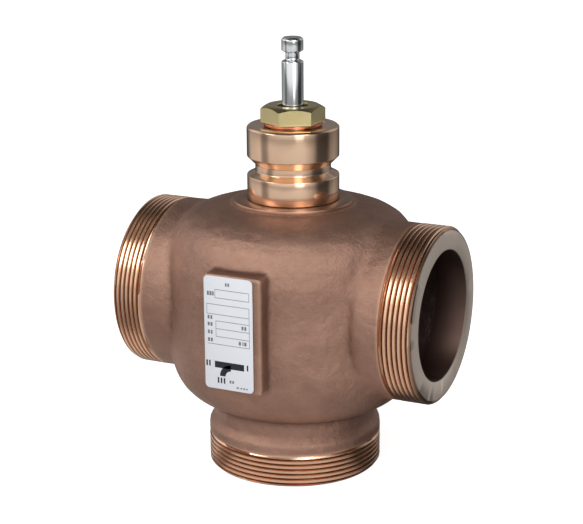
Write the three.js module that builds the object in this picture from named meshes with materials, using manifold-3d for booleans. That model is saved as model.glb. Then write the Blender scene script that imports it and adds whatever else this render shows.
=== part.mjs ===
// Three way globe valve with threaded ports: a straight run along X with a third port below.
// Millimetres, +Z up the stem. The origin is the centre of the lower port's face.
// The middle chamber opens to the right port, the upper chamber to the left port, and the plug moves between
// the upper seat and the lower seat, so it closes either the left port or the lower port to the right port.
import * as THREE from "three";
import { mergeVertices } from "three/addons/utils/BufferGeometryUtils.js";
import Module from "manifold-3d";

const wasm = await Module();
wasm.setup();

// Ports
const FACE_TO_FACE = 150;
const AXIS_HEIGHT = 80;
const THREAD_RADIUS = 40.77; // G 2 3/4 pipe thread, 81.53 mm outside
const THREAD_CHAMFER = 1.2;
const PORT_BORE_RADIUS = 30;
const NECK_RADIUS = 38.5;
const SIDE_COLLAR_LENGTH = 27; // thread and raw collar, from the port's face
const LOWER_COLLAR_LENGTH = 19.8;
const COLLAR_SHOULDER = 3; // length over which a collar runs down to its neck

// Cast body
const BARREL_RADIUS = 56.5; // across the run
const BARREL_REACH = 60; // along the run
const BARREL_MIDDLE_DROP = 5; // widest part below the ports' axis
const AXIS_TO_BARREL_BOTTOM = 49;
const AXIS_TO_BARREL_TOP = 45.5;
const BARREL_TOP_SQUARENESS = 4.5; // exponents of the barrel's superellipse, above and below its middle
const BARREL_BOTTOM_SQUARENESS = 4;
const TOP_DISC_RADIUS = 27.8;
const TOP_DISC_HEIGHT = 2.1;
const PAD_WIDTH = 28.2;
const PAD_HEIGHT = 53.6;
const PAD_DROP = 0.8; // pad's centre below the ports' axis
const PAD_DISTANCE = 62; // stem axis to the pad's face

// Passages inside the body
const BODY_WALL = 14.5; // widest part of the barrel to its chambers
const CHAMBER_WALL = 5; // between a chamber and the port it is shut off from
const TOP_WALL = 13.5; // barrel's top to the upper chamber
const WEB_THICKNESS = 7.7;
const LOWER_BOSS_THICKNESS = 7.8;

// Seats, plug and stroke
const AXIS_TO_LOWER_SEAT = 33;
const SEAT_GAP = 31;
const SEAT_BORE_RADIUS = 20;
const SEAT_CHAMFER = 1.5; // sealing chamfer, towards the plug
const SEAT_EDGE = 0.5; // broken edge at the other end of the bore
const STROKE = 20;
const STOP_CLEARANCE = 0.2; // left at each end of the stroke
const SEAT_RING_LENGTH = 11;
const SEAT_FLANGE_THICKNESS = 3;
const SEAT_WALL = 3.8;
const SEAT_FLANGE_WIDTH = 2.5;
const SEAT_POCKET_GAP = 1; // around the lower seat ring's flange
const PLUG_OVERLAP = 3.5; // plug's edge past the seat's bore
const PLUG_CHAMFER = 2;
const CROWN_WALL = 2;
const CROWN_BASE = 3.8;
const CROWN_GUIDE = 4; // stays in the seat at the far end of the stroke
const CROWN_WINDOWS = 4;
const CROWN_WINDOW_WIDTH = 14; // at the plug
const CROWN_WINDOW_TIP = 3.5; // at the far end

// Stem
const STEM_RADIUS = 5;
const STEM_ABOVE_NUT = 30.9;
const HEAD_LENGTH = 7;
const HEAD_NECK_RADIUS = 3.2;
const HEAD_NECK_LENGTH = 3;
const STEM_CHAMFER = 1;
const STEM_SPIGOT_RADIUS = 4; // carries the plug
const STEM_END = 2; // stands out below the plug's nut

// Bonnet, gland nut and seals
const BONNET_RADIUS = 21.3;
const BONNET_HEIGHT = 34.3; // above the body's top disc
const BONNET_SPIGOT_RADIUS = 20;
const BONNET_SPIGOT_LENGTH = 8.6;
const BONNET_LEDGE = 2.5; // width of the step that the bonnet's gasket lies on
const GROOVE_RADIUS = 17.5;
const GROOVE_HEIGHT = 13.3; // above the body's top disc
const GROOVE_LENGTH = 3.1;
const BONNET_EDGE = 0.8;
const SEAL_WIDTH = 3.2; // stem to the seals' outside
const SEAL_BORE_DEPTH = 24.9;
const GUIDE_BUSH_LENGTH = 14;
const O_RING_SLACK = 0.05;
const NUT_ACROSS_FLATS = 26;
const NUT_HEIGHT = 7.7;
const NUT_CHAMFER_ANGLE = Math.PI / 6;
const NUT_SPIGOT_WALL = 2.6; // outside of the seals to the outside of the nut's thread
const NUT_SPIGOT_LENGTH = 10;
const WIPER_WIDTH = 2.1; // stem to the nut's bore
const NUT_BUSH_DEPTH = 5.1; // nut's top face down to its guide bush
const WIPER_HEIGHT = 2.8;
const WIPER_LIP = 1;
const WASHER_THICKNESS = 1.2;
const TOP_RELIEF_DEPTH = 0.3; // shallow recess in the neck's top face, under the washer and the nut's corners
const TOP_RELIEF_GAP = 0.5; // outside the nut's corners

// Small pieces on the stem's lower end
const PLUG_NUT_ACROSS_FLATS = 13;
const PLUG_NUT_HEIGHT = 6;
const PLUG_WASHER_THICKNESS = 1.3;
const PLUG_WASHER_RADIUS = 8.5;
const PIN_RADIUS = 1;
const PIN_OVERHANG = 1.5;
const LABEL_WIDTH = 24;
const LABEL_HEIGHT = 52;
const LABEL_THICKNESS = 0.2;
const LABEL_OFFSET = -1.7; // the label sits to the left of the pad's middle
const LABEL_CORNER = 2;

// Clearances
const GAP = 0.3; // between touching pieces
const RUNNING_GAP = 0.2; // between a moving piece and what guides it
const GASKET_THICKNESS = 0.9;

// Smoothness
const ROUND_SIDES = 48;
const SMALL_SIDES = 24;
const PIN_SIDES = 12;
const O_RING_SIDES = 8;
const BARREL_STEPS = 7; // in each half of the barrel's outline
const OVERSHOOT = 2; // how far a cutter runs past the face that it opens

// Places that follow from the sizes above
const HALF_LENGTH = FACE_TO_FACE / 2;
const BARREL_BOTTOM = AXIS_HEIGHT - AXIS_TO_BARREL_BOTTOM;
const BARREL_TOP = AXIS_HEIGHT + AXIS_TO_BARREL_TOP;
const PAD_CENTRE_HEIGHT = AXIS_HEIGHT - PAD_DROP;
const CHAMBER_RADIUS = BARREL_RADIUS - BODY_WALL;
const UPPER_CHAMBER_TOP = BARREL_TOP - TOP_WALL;
const LOWER_SEAT_HEIGHT = AXIS_HEIGHT - AXIS_TO_LOWER_SEAT;
const UPPER_SEAT_HEIGHT = LOWER_SEAT_HEIGHT + SEAT_GAP;
const UPPER_SEAT_THREAD_RADIUS = SEAT_BORE_RADIUS + SEAT_WALL;
const UPPER_SEAT_FLANGE_RADIUS = UPPER_SEAT_THREAD_RADIUS + SEAT_FLANGE_WIDTH;
const LOWER_SEAT_THREAD_RADIUS = UPPER_SEAT_FLANGE_RADIUS + RUNNING_GAP; // lets the upper ring through
const LOWER_SEAT_FLANGE_RADIUS = LOWER_SEAT_THREAD_RADIUS + SEAT_FLANGE_WIDTH;
const TOP_DISC_TOP = BARREL_TOP + TOP_DISC_HEIGHT;
const WEB_BOTTOM = UPPER_SEAT_HEIGHT + SEAT_FLANGE_THICKNESS + GASKET_THICKNESS + 2 * GAP;
const WEB_TOP = WEB_BOTTOM + WEB_THICKNESS;
const LOWER_SEAT_BOTTOM = LOWER_SEAT_HEIGHT - SEAT_RING_LENGTH - SEAT_FLANGE_THICKNESS;
const BOSS_BOTTOM = LOWER_SEAT_BOTTOM + SEAT_FLANGE_THICKNESS + GASKET_THICKNESS + 2 * GAP;
const BOSS_TOP = BOSS_BOTTOM + LOWER_BOSS_THICKNESS;
const PLUG_THICKNESS = SEAT_GAP - STROKE - 2 * STOP_CLEARANCE;
const PLUG_BOTTOM = LOWER_SEAT_HEIGHT + STROKE / 2 + STOP_CLEARANCE;
const PLUG_TOP = PLUG_BOTTOM + PLUG_THICKNESS;
const PLUG_RADIUS = SEAT_BORE_RADIUS + PLUG_OVERLAP;
const CROWN_RADIUS = SEAT_BORE_RADIUS - RUNNING_GAP;
const CROWN_LENGTH = STROKE + CROWN_GUIDE;
const STEM_SHOULDER = PLUG_TOP + GAP + CROWN_BASE + GAP;
const LOWER_CROWN_BASE = PLUG_BOTTOM - GAP - CROWN_BASE;
const PLUG_WASHER_TOP = LOWER_CROWN_BASE - GAP;
const PLUG_NUT_TOP = PLUG_WASHER_TOP - PLUG_WASHER_THICKNESS - GAP;
const STEM_BOTTOM = PLUG_NUT_TOP - PLUG_NUT_HEIGHT - STEM_END;
const PIN_HEIGHT = PLUG_NUT_TOP - PLUG_NUT_HEIGHT / 2;
const GASKET_BORE_RADIUS = BONNET_SPIGOT_RADIUS - BONNET_LEDGE;
const SPIGOT_BOTTOM = TOP_DISC_TOP - BONNET_SPIGOT_LENGTH;
const BONNET_TOP = TOP_DISC_TOP + BONNET_HEIGHT;
const GROOVE_BOTTOM = TOP_DISC_TOP + GROOVE_HEIGHT;
const GROOVE_TOP = GROOVE_BOTTOM + GROOVE_LENGTH;
const SEAL_RADIUS = STEM_RADIUS + SEAL_WIDTH;
const SEAL_BORE_BOTTOM = BONNET_TOP - SEAL_BORE_DEPTH;
const O_RING_SECTION = (SEAL_WIDTH - RUNNING_GAP) / 2 - O_RING_SLACK;
const NUT_SPIGOT_RADIUS = SEAL_RADIUS + NUT_SPIGOT_WALL;
const NUT_BORE_RADIUS = STEM_RADIUS + WIPER_WIDTH;
const TOP_RELIEF_RADIUS = NUT_ACROSS_FLATS / Math.sqrt(3) + TOP_RELIEF_GAP;
const WASHER_SEAT = BONNET_TOP - TOP_RELIEF_DEPTH;
const NUT_BOTTOM = WASHER_SEAT + WASHER_THICKNESS + 2 * GAP;
const NUT_TOP = NUT_BOTTOM + NUT_HEIGHT;
const NUT_SPIGOT_BOTTOM = BONNET_TOP - NUT_SPIGOT_LENGTH;
const NUT_BUSH_TOP = NUT_TOP - NUT_BUSH_DEPTH;
const STEM_TOP = NUT_TOP + STEM_ABOVE_NUT;

// Turns a list of [radius, height] points about Z.
// The profile starts and ends on the axis, or closes on itself.
function turned(profile, sides = ROUND_SIDES) {
  const closed = profile[0][0] > 0;
  const points = closed ? [...profile, profile[0]] : profile;
  const geometry = new THREE.LatheGeometry(points.map(([r, z]) => new THREE.Vector2(r, z)), sides);
  return solid(geometry.rotateX(Math.PI / 2));
}

// A flat ring, or a disc where the inner radius is nought.
function ring(inner, outer, bottom, top, sides = ROUND_SIDES) {
  return turned([[inner, bottom], [outer, bottom], [outer, top], [inner, top]], sides);
}

function rod(radius, bottom, top, sides = ROUND_SIDES) {
  return ring(0, radius, bottom, top, sides);
}

// A closed manifold-3d solid of a geometry.
function solid(geometry) {
  const bare = new THREE.BufferGeometry();
  bare.setAttribute("position", geometry.getAttribute("position"));
  bare.setIndex(geometry.index);
  const merged = mergeVertices(bare, 1e-4);
  const vertProperties = new Float32Array(merged.attributes.position.array);
  const triVerts = new Uint32Array(merged.index.array);
  return new wasm.Manifold(new wasm.Mesh({ numProp: 3, vertProperties, triVerts }));
}

function geometryOf(manifold) {
  const { vertProperties, triVerts } = manifold.getMesh();
  const geometry = new THREE.BufferGeometry();
  geometry.setAttribute("position", new THREE.BufferAttribute(new Float32Array(vertProperties), 3));
  geometry.setIndex(new THREE.BufferAttribute(new Uint32Array(triVerts), 1));
  const faceted = geometry.toNonIndexed();
  faceted.computeVertexNormals();
  return faceted;
}

function box(width, depth, height, x, y, z) {
  return solid(new THREE.BoxGeometry(width, depth, height).translate(x, y, z));
}

// Lays a solid that was turned about Z along +X (side 1) or -X (side -1), at the height of the ports' axis.
function alongX(manifold, side) {
  return manifold.rotate([0, 90 * side, 0]).translate([0, 0, AXIS_HEIGHT]);
}

function hexagon(acrossFlats, bottom, top) {
  const corner = acrossFlats / Math.sqrt(3);
  const shape = new THREE.Shape();
  for (let i = 0; i < 6; i += 1) {
    const angle = Math.PI / 2 + (i * Math.PI) / 3;
    const point = [corner * Math.cos(angle), corner * Math.sin(angle)];
    if (i === 0) shape.moveTo(...point);
    else shape.lineTo(...point);
  }
  const options = { depth: top - bottom, bevelEnabled: false };
  return solid(new THREE.ExtrudeGeometry(shape, options).translate(0, 0, bottom));
}

// The barrel's outline from its lower crease to the top disc, as two superellipse arcs that meet where it is
// widest.
function barrelProfile() {
  const middle = AXIS_HEIGHT - BARREL_MIDDLE_DROP;
  const arc = (endRadius, endHeight, n) => {
    const share = endRadius / BARREL_RADIUS;
    const rise = (endHeight - middle) / (1 - share ** n) ** (1 / n);
    const last = Math.acos(share ** (n / 2));
    return Array.from({ length: BARREL_STEPS + 1 }, (_, i) => {
      const t = (last * i) / BARREL_STEPS;
      return [BARREL_RADIUS * Math.cos(t) ** (2 / n), middle + rise * Math.sin(t) ** (2 / n)];
    });
  };
  const lower = arc(NECK_RADIUS, BARREL_BOTTOM, BARREL_BOTTOM_SQUARENESS).reverse();
  const upper = arc(TOP_DISC_RADIUS, BARREL_TOP, BARREL_TOP_SQUARENESS).slice(1);
  return [[0, BARREL_BOTTOM], ...lower, ...upper, [0, BARREL_TOP]];
}

// A port's outside, from its face at height nought up to a given height: chamfer, thread and collar, then
// the neck.
function portOutside(collar, height) {
  return turned([
    [0, 0],
    [THREAD_RADIUS - THREAD_CHAMFER, 0],
    [THREAD_RADIUS, THREAD_CHAMFER],
    [THREAD_RADIUS, collar],
    [NECK_RADIUS, collar + COLLAR_SHOULDER],
    [NECK_RADIUS, height],
    [0, height],
  ]);
}

// A chamber turned about Z, closed at the top by a dome down to the bonnet's hole.
function upperChamber() {
  const wall = BARREL_RADIUS - CHAMBER_RADIUS;
  return turned([
    [0, WEB_TOP],
    [CHAMBER_RADIUS - wall / 2, WEB_TOP],
    [CHAMBER_RADIUS, WEB_TOP + wall / 2],
    [CHAMBER_RADIUS, UPPER_CHAMBER_TOP - wall],
    [CHAMBER_RADIUS - wall / 2, UPPER_CHAMBER_TOP - wall / 3],
    [GASKET_BORE_RADIUS, UPPER_CHAMBER_TOP],
    [0, UPPER_CHAMBER_TOP],
  ]);
}

function middleChamber() {
  const wall = BARREL_RADIUS - CHAMBER_RADIUS;
  return turned([
    [0, BOSS_TOP],
    [CHAMBER_RADIUS - wall, BOSS_TOP],
    [CHAMBER_RADIUS, BOSS_TOP + wall],
    [CHAMBER_RADIUS, WEB_BOTTOM],
    [0, WEB_BOTTOM],
  ]);
}

// The bore of a side port, full round as far as the chamber's wall. Past it only the half that its own
// chamber shares with it is open, between the heights given.
function sidePassage(side, lowest, highest) {
  const inner = CHAMBER_RADIUS + CHAMBER_WALL;
  const bore = alongX(rod(PORT_BORE_RADIUS, inner, HALF_LENGTH + OVERSHOOT), side);
  const through = alongX(rod(PORT_BORE_RADIUS, CHAMBER_RADIUS / 2, inner + OVERSHOOT), side);
  const slab = box(2 * FACE_TO_FACE, 2 * FACE_TO_FACE, highest - lowest, 0, 0, (highest + lowest) / 2);
  return bore.add(through.intersect(slab));
}

function valveBody() {
  let body = turned(barrelProfile()).scale([BARREL_REACH / BARREL_RADIUS, 1, 1]);
  const side = portOutside(SIDE_COLLAR_LENGTH, HALF_LENGTH).translate([0, 0, -HALF_LENGTH]);
  body = body.add(alongX(side, 1)).add(alongX(side, -1));
  body = body.add(portOutside(LOWER_COLLAR_LENGTH, BARREL_BOTTOM + OVERSHOOT));
  body = body.add(rod(TOP_DISC_RADIUS, BARREL_TOP - OVERSHOOT, TOP_DISC_TOP));
  body = body.add(box(PAD_WIDTH, 2 * PAD_DISTANCE, PAD_HEIGHT, 0, 0, PAD_CENTRE_HEIGHT));

  body = body.subtract(rod(PORT_BORE_RADIUS, -OVERSHOOT, BOSS_BOTTOM));
  const pocketRadius = LOWER_SEAT_FLANGE_RADIUS + SEAT_POCKET_GAP;
  body = body.subtract(rod(pocketRadius, LOWER_SEAT_BOTTOM - SEAT_POCKET_GAP, BOSS_BOTTOM));
  body = body.subtract(rod(LOWER_SEAT_THREAD_RADIUS + GAP, BOSS_BOTTOM - OVERSHOOT, BOSS_TOP + OVERSHOOT));
  body = body.subtract(middleChamber());
  body = body.subtract(rod(UPPER_SEAT_THREAD_RADIUS + GAP, WEB_BOTTOM - OVERSHOOT, WEB_TOP + OVERSHOOT));
  body = body.subtract(upperChamber());
  body = body.subtract(sidePassage(1, BOSS_TOP, WEB_BOTTOM));
  body = body.subtract(sidePassage(-1, WEB_TOP, UPPER_CHAMBER_TOP));

  const ledge = SPIGOT_BOTTOM - GASKET_THICKNESS - 2 * GAP;
  body = body.subtract(rod(BONNET_SPIGOT_RADIUS + GAP, ledge, TOP_DISC_TOP + OVERSHOOT));
  body = body.subtract(rod(GASKET_BORE_RADIUS, UPPER_CHAMBER_TOP - OVERSHOOT, ledge + OVERSHOOT));
  return body;
}

function bonnetGasket() {
  const top = SPIGOT_BOTTOM - GAP;
  const inner = GASKET_BORE_RADIUS + GAP;
  return ring(inner, BONNET_SPIGOT_RADIUS, top - GASKET_THICKNESS, top);
}

// Turned neck: a spigot in the body, two cylinders with the actuator's clamping groove between them, and a
// bore that steps from the guide bush to the seals to the gland nut's thread.
function bonnet() {
  const bushBottom = SPIGOT_BOTTOM + GAP;
  const bushTop = bushBottom + GUIDE_BUSH_LENGTH + 2 * GAP;
  const slope = BONNET_RADIUS - GROOVE_RADIUS;
  const seat = TOP_DISC_TOP + GAP;
  return turned([
    [SEAL_RADIUS + GAP, SPIGOT_BOTTOM],
    [BONNET_SPIGOT_RADIUS, SPIGOT_BOTTOM],
    [BONNET_SPIGOT_RADIUS, seat],
    [BONNET_RADIUS, seat],
    [BONNET_RADIUS, GROOVE_BOTTOM - slope / 2],
    [GROOVE_RADIUS, GROOVE_BOTTOM],
    [GROOVE_RADIUS, GROOVE_TOP],
    [BONNET_RADIUS, GROOVE_TOP + slope],
    [BONNET_RADIUS, BONNET_TOP - BONNET_EDGE],
    [BONNET_RADIUS - BONNET_EDGE, BONNET_TOP],
    [TOP_RELIEF_RADIUS, BONNET_TOP],
    [TOP_RELIEF_RADIUS, WASHER_SEAT],
    [NUT_SPIGOT_RADIUS + GAP, WASHER_SEAT],
    [NUT_SPIGOT_RADIUS + GAP, NUT_SPIGOT_BOTTOM - GAP],
    [SEAL_RADIUS + GAP, NUT_SPIGOT_BOTTOM - GAP],
    [SEAL_RADIUS + GAP, SEAL_BORE_BOTTOM],
    [STEM_RADIUS + 2 * RUNNING_GAP, SEAL_BORE_BOTTOM],
    [STEM_RADIUS + 2 * RUNNING_GAP, bushTop],
    [SEAL_RADIUS + GAP, bushTop],
  ]);
}

function stemGuideBush() {
  const bottom = SPIGOT_BOTTOM + 2 * GAP;
  return ring(STEM_RADIUS + RUNNING_GAP, SEAL_RADIUS, bottom, bottom + GUIDE_BUSH_LENGTH, SMALL_SIDES);
}

function oRing(centreHeight) {
  const inner = STEM_RADIUS + RUNNING_GAP;
  const middle = (inner + SEAL_RADIUS) / 2;
  const section = Array.from({ length: O_RING_SIDES }, (_, i) => {
    const angle = (i * 2 * Math.PI) / O_RING_SIDES;
    return [middle + O_RING_SECTION * Math.cos(angle), centreHeight + O_RING_SECTION * Math.sin(angle)];
  });
  return turned(section, SMALL_SIDES);
}

// The stem's seals, from the bonnet's ledge up to the gland nut: each entry is a name, a height and a maker.
function sealStack() {
  const flat = (bottom, top) => ring(STEM_RADIUS + RUNNING_GAP, SEAL_RADIUS, bottom, top, SMALL_SIDES);
  const round = (bottom, top) => oRing((bottom + top) / 2);
  const room = NUT_SPIGOT_BOTTOM - SEAL_BORE_BOTTOM;
  const flatRoom = room - 4 * O_RING_SECTION - 6 * GAP;
  const pieces = [
    ["backing_ring", flatRoom * 0.25, flat, "ptfe"],
    ["lower_stem_o_ring", 2 * O_RING_SECTION, round, "rubber"],
    ["spacer_ring", flatRoom * 0.5, flat, "brass"],
    ["upper_stem_o_ring", 2 * O_RING_SECTION, round, "rubber"],
    ["thrust_ring", flatRoom * 0.25, flat, "brass"],
  ];
  let bottom = SEAL_BORE_BOTTOM + GAP;
  return pieces.map(([name, height, make, material]) => {
    const made = make(bottom, bottom + height);
    bottom += height + GAP;
    return [name, made, material];
  });
}

// Hexagon with turned-down corners on a threaded spigot, bored for the stem's upper guide and the wiper.
function glandNut() {
  const corner = NUT_ACROSS_FLATS / Math.sqrt(3);
  const topRadius = NUT_ACROSS_FLATS / 2 - 1;
  const trim = turned([
    [0, NUT_BOTTOM - OVERSHOOT],
    [corner + GAP, NUT_BOTTOM - OVERSHOOT],
    [corner + GAP, NUT_TOP - (corner + GAP - topRadius) * Math.tan(NUT_CHAMFER_ANGLE)],
    [topRadius, NUT_TOP],
    [0, NUT_TOP],
  ]);
  const head = hexagon(NUT_ACROSS_FLATS, NUT_BOTTOM, NUT_TOP).intersect(trim);
  const spigot = rod(NUT_SPIGOT_RADIUS, NUT_SPIGOT_BOTTOM, NUT_BOTTOM + OVERSHOOT);
  return head.add(spigot).subtract(rod(NUT_BORE_RADIUS, NUT_SPIGOT_BOTTOM - OVERSHOOT, NUT_TOP + OVERSHOOT));
}

function glandWasher() {
  const bottom = WASHER_SEAT + GAP;
  return ring(NUT_SPIGOT_RADIUS + GAP, NUT_ACROSS_FLATS / 2 + GAP, bottom, bottom + WASHER_THICKNESS);
}

function nutGuideBush() {
  const inner = STEM_RADIUS + RUNNING_GAP;
  const outer = NUT_BORE_RADIUS - GAP;
  return ring(inner, outer, NUT_SPIGOT_BOTTOM + GAP, NUT_BUSH_TOP, SMALL_SIDES);
}

function wiperRing() {
  const bottom = NUT_BUSH_TOP + GAP;
  const top = bottom + WIPER_HEIGHT;
  const inner = STEM_RADIUS + RUNNING_GAP;
  const outer = NUT_BORE_RADIUS - GAP;
  const profile = [
    [inner, bottom],
    [outer, bottom],
    [outer, top - WIPER_LIP],
    [inner + WIPER_LIP / 2, top],
    [inner, top],
  ];
  return turned(profile, SMALL_SIDES);
}

// A seat ring: a threaded sleeve on a flange that draws it up against its gasket. One end of its bore has the
// sealing chamfer and the other only a broken edge.
function seatRing(threadRadius, bottom, bottomChamfer, topChamfer) {
  const flangeRadius = threadRadius + SEAT_FLANGE_WIDTH;
  const flangeTop = bottom + SEAT_FLANGE_THICKNESS;
  const top = flangeTop + SEAT_RING_LENGTH;
  return turned([
    [SEAT_BORE_RADIUS + bottomChamfer, bottom],
    [flangeRadius, bottom],
    [flangeRadius, flangeTop],
    [threadRadius, flangeTop],
    [threadRadius, top],
    [SEAT_BORE_RADIUS + topChamfer, top],
    [SEAT_BORE_RADIUS, top - topChamfer],
    [SEAT_BORE_RADIUS, bottom + bottomChamfer],
  ]);
}

function seatGasket(threadRadius, seatRingBottom) {
  const bottom = seatRingBottom + SEAT_FLANGE_THICKNESS + GAP;
  const outer = threadRadius + SEAT_FLANGE_WIDTH;
  return ring(threadRadius + GAP, outer, bottom, bottom + GASKET_THICKNESS);
}

function stem() {
  const neckTop = STEM_TOP - HEAD_LENGTH;
  const neckBottom = neckTop - HEAD_NECK_LENGTH;
  const blank = turned([
    [0, STEM_BOTTOM],
    [STEM_SPIGOT_RADIUS, STEM_BOTTOM],
    [STEM_SPIGOT_RADIUS, STEM_SHOULDER],
    [STEM_RADIUS, STEM_SHOULDER],
    [STEM_RADIUS, neckBottom - STEM_CHAMFER],
    [HEAD_NECK_RADIUS, neckBottom],
    [HEAD_NECK_RADIUS, neckTop],
    [STEM_RADIUS, neckTop + STEM_CHAMFER],
    [STEM_RADIUS, STEM_TOP - STEM_CHAMFER],
    [STEM_RADIUS - STEM_CHAMFER, STEM_TOP],
    [0, STEM_TOP],
  ], SMALL_SIDES);
  return blank.subtract(crossHole());
}

function crossHole() {
  const length = 2 * PLUG_NUT_ACROSS_FLATS;
  const hole = rod(PIN_RADIUS + GAP, -length / 2, length / 2, PIN_SIDES);
  return hole.rotate([0, 90, 0]).translate([0, 0, PIN_HEIGHT]);
}

// Double-faced disc with a sealing chamfer towards each seat.
function plug() {
  const land = SEAT_BORE_RADIUS - GAP;
  return turned([
    [STEM_SPIGOT_RADIUS + GAP, PLUG_BOTTOM],
    [land, PLUG_BOTTOM],
    [PLUG_RADIUS, PLUG_BOTTOM + PLUG_CHAMFER],
    [PLUG_RADIUS, PLUG_TOP - PLUG_CHAMFER],
    [land, PLUG_TOP],
    [STEM_SPIGOT_RADIUS + GAP, PLUG_TOP],
  ]);
}

// A cup whose base lies on the plug and whose skirt slides in a seat, with windows that taper away from the
// plug. It is made standing on height nought with its skirt up.
function crown() {
  const inner = CROWN_RADIUS - CROWN_WALL;
  const cup = turned([
    [STEM_SPIGOT_RADIUS + GAP, 0],
    [CROWN_RADIUS, 0],
    [CROWN_RADIUS, CROWN_LENGTH],
    [inner, CROWN_LENGTH],
    [inner, CROWN_BASE],
    [STEM_SPIGOT_RADIUS + GAP, CROWN_BASE],
  ]);
  const window = new THREE.Shape();
  const half = CROWN_WINDOW_WIDTH / 2;
  const windowTop = STROKE - RUNNING_GAP;
  window.moveTo(-half, CROWN_BASE + GAP);
  window.lineTo(half, CROWN_BASE + GAP);
  window.lineTo(CROWN_WINDOW_TIP / 2, windowTop);
  window.lineTo(-CROWN_WINDOW_TIP / 2, windowTop);
  const options = { depth: 2 * CROWN_RADIUS, bevelEnabled: false };
  const cutter = solid(new THREE.ExtrudeGeometry(window, options).rotateX(Math.PI / 2));
  let made = cup;
  for (let i = 0; i < CROWN_WINDOWS; i += 1) {
    made = made.subtract(cutter.rotate([0, 0, 45 + (360 / CROWN_WINDOWS) * i]));
  }
  return made;
}

function plugWasher() {
  const bottom = PLUG_WASHER_TOP - PLUG_WASHER_THICKNESS;
  return ring(STEM_SPIGOT_RADIUS + GAP, PLUG_WASHER_RADIUS, bottom, PLUG_WASHER_TOP, SMALL_SIDES);
}

function plugNut() {
  const bottom = PLUG_NUT_TOP - PLUG_NUT_HEIGHT;
  const hole = rod(STEM_SPIGOT_RADIUS + GAP, bottom - OVERSHOOT, PLUG_NUT_TOP + OVERSHOOT, SMALL_SIDES);
  return hexagon(PLUG_NUT_ACROSS_FLATS, bottom, PLUG_NUT_TOP).subtract(hole).subtract(crossHole());
}

function plugNutPin() {
  const length = PLUG_NUT_ACROSS_FLATS + 2 * PIN_OVERHANG;
  const pin = rod(PIN_RADIUS, -length / 2, length / 2, PIN_SIDES);
  return pin.rotate([0, 90, 0]).translate([0, 0, PIN_HEIGHT]);
}

// Thin sticker with rounded corners on the front pad.
function label() {
  const w = LABEL_WIDTH / 2 - LABEL_CORNER;
  const h = LABEL_HEIGHT / 2 - LABEL_CORNER;
  const shape = new THREE.Shape();
  shape.absarc(w, h, LABEL_CORNER, 0, Math.PI / 2);
  shape.absarc(-w, h, LABEL_CORNER, Math.PI / 2, Math.PI);
  shape.absarc(-w, -h, LABEL_CORNER, Math.PI, (3 * Math.PI) / 2);
  shape.absarc(w, -h, LABEL_CORNER, (3 * Math.PI) / 2, 2 * Math.PI);
  const options = { depth: LABEL_THICKNESS, bevelEnabled: false, curveSegments: 6 };
  const sheet = new THREE.ExtrudeGeometry(shape, options).rotateX(Math.PI / 2);
  return solid(sheet.translate(LABEL_OFFSET, -PAD_DISTANCE - GAP, PAD_CENTRE_HEIGHT));
}

const MATERIALS = {
  cast_bronze: { color: 0x8f6d5c, roughness: 0.6, metalness: 0.6 },
  turned_bronze: { color: 0xc08a66, roughness: 0.25, metalness: 1 },
  brass: { color: 0xb9a25c, roughness: 0.3, metalness: 1 },
  copper: { color: 0xb5603f, roughness: 0.35, metalness: 1 },
  steel: { color: 0xc4c8cc, roughness: 0.15, metalness: 1 },
  rubber: { color: 0x1b1b1d, roughness: 0.8, metalness: 0 },
  ptfe: { color: 0xe8e6df, roughness: 0.5, metalness: 0 },
  sticker: { color: 0xdfe2e6, roughness: 0.35, metalness: 0.3 },
};

const valve = new THREE.Group();

function place(name, manifold, finish) {
  const material = new THREE.MeshStandardMaterial(MATERIALS[finish]);
  const mesh = new THREE.Mesh(geometryOf(manifold), material);
  mesh.name = name;
  valve.add(mesh);
}

place("valve_body", valveBody(), "cast_bronze");
place("bonnet_gasket", bonnetGasket(), "copper");
place("bonnet", bonnet(), "turned_bronze");
place("stem_guide_bush", stemGuideBush(), "brass");
for (const [name, manifold, finish] of sealStack()) place(name, manifold, finish);
place("gland_washer", glandWasher(), "copper");
place("gland_nut", glandNut(), "brass");
place("nut_guide_bush", nutGuideBush(), "ptfe");
place("wiper_ring", wiperRing(), "rubber");

const upperSeatRing = seatRing(UPPER_SEAT_THREAD_RADIUS, UPPER_SEAT_HEIGHT, SEAT_CHAMFER, SEAT_EDGE);
const lowerSeatRing = seatRing(LOWER_SEAT_THREAD_RADIUS, LOWER_SEAT_BOTTOM, SEAT_EDGE, SEAT_CHAMFER);
place("upper_seat_ring", upperSeatRing, "brass");
place("upper_seat_gasket", seatGasket(UPPER_SEAT_THREAD_RADIUS, UPPER_SEAT_HEIGHT), "copper");
place("lower_seat_ring", lowerSeatRing, "brass");
place("lower_seat_gasket", seatGasket(LOWER_SEAT_THREAD_RADIUS, LOWER_SEAT_BOTTOM), "copper");

place("stem", stem(), "steel");
place("upper_crown", crown().translate([0, 0, PLUG_TOP + GAP]), "brass");
place("plug", plug(), "brass");
place("lower_crown", crown().rotate([180, 0, 0]).translate([0, 0, PLUG_BOTTOM - GAP]), "brass");
place("plug_washer", plugWasher(), "steel");
place("plug_nut", plugNut(), "steel");
place("plug_nut_pin", plugNutPin(), "steel");

place("label", label(), "sticker");

export default valve;
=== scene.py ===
import math

import bmesh
import bpy
from mathutils import Matrix, Vector, noise


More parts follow.
